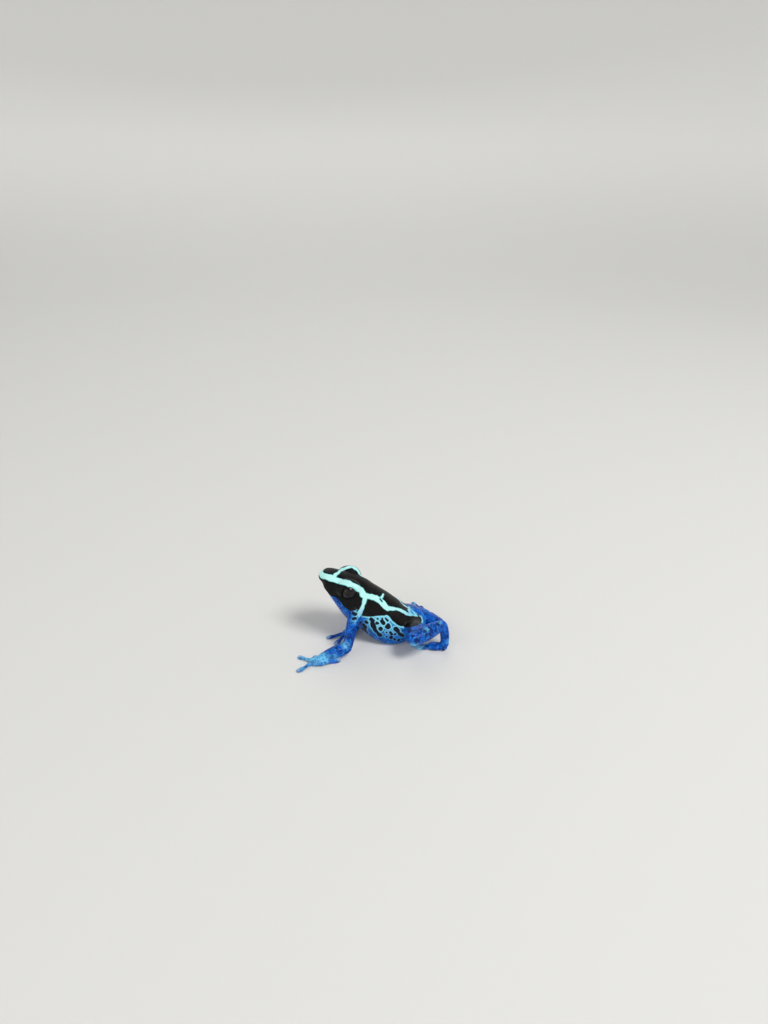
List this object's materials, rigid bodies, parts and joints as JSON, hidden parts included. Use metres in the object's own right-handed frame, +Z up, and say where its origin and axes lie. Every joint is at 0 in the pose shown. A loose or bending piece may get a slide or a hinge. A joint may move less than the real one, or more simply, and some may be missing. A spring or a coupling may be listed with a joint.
{
  "type": "poison dart frog",
  "caption": "Small dart frog sitting up on its front legs, black back with pale lines and spotted blue legs, a still life-size model.",
  "frame": {"origin": "middle of the bounding box at floor level", "axes": "+X from the snout to the rump, +Y towards the frog's right side, +Z up from the floor"},
  "size_m": [0.0488, 0.039, 0.0248],
  "materials": {
    "skin_black": "moist black skin with pale mint lines",
    "skin_blue": "moist blue skin with dark speckles",
    "eye_dark": "wet, nearly black eye"
  },
  "bodies": {
    "root": {"head": "skin_black", "torso": "skin_black", "left_eye": "eye_dark", "right_eye": "eye_dark", "left_upper_arm": "skin_blue", "right_upper_arm": "skin_blue", "left_forearm": "skin_blue", "right_forearm": "skin_blue", "left_hand": "skin_blue", "right_hand": "skin_blue", "left_thigh": "skin_blue", "right_thigh": "skin_blue", "left_shank": "skin_blue", "right_shank": "skin_blue", "left_tarsus": "skin_blue", "right_tarsus": "skin_blue", "left_foot": "skin_blue", "right_foot": "skin_blue"}
  },
  "joints": []
}
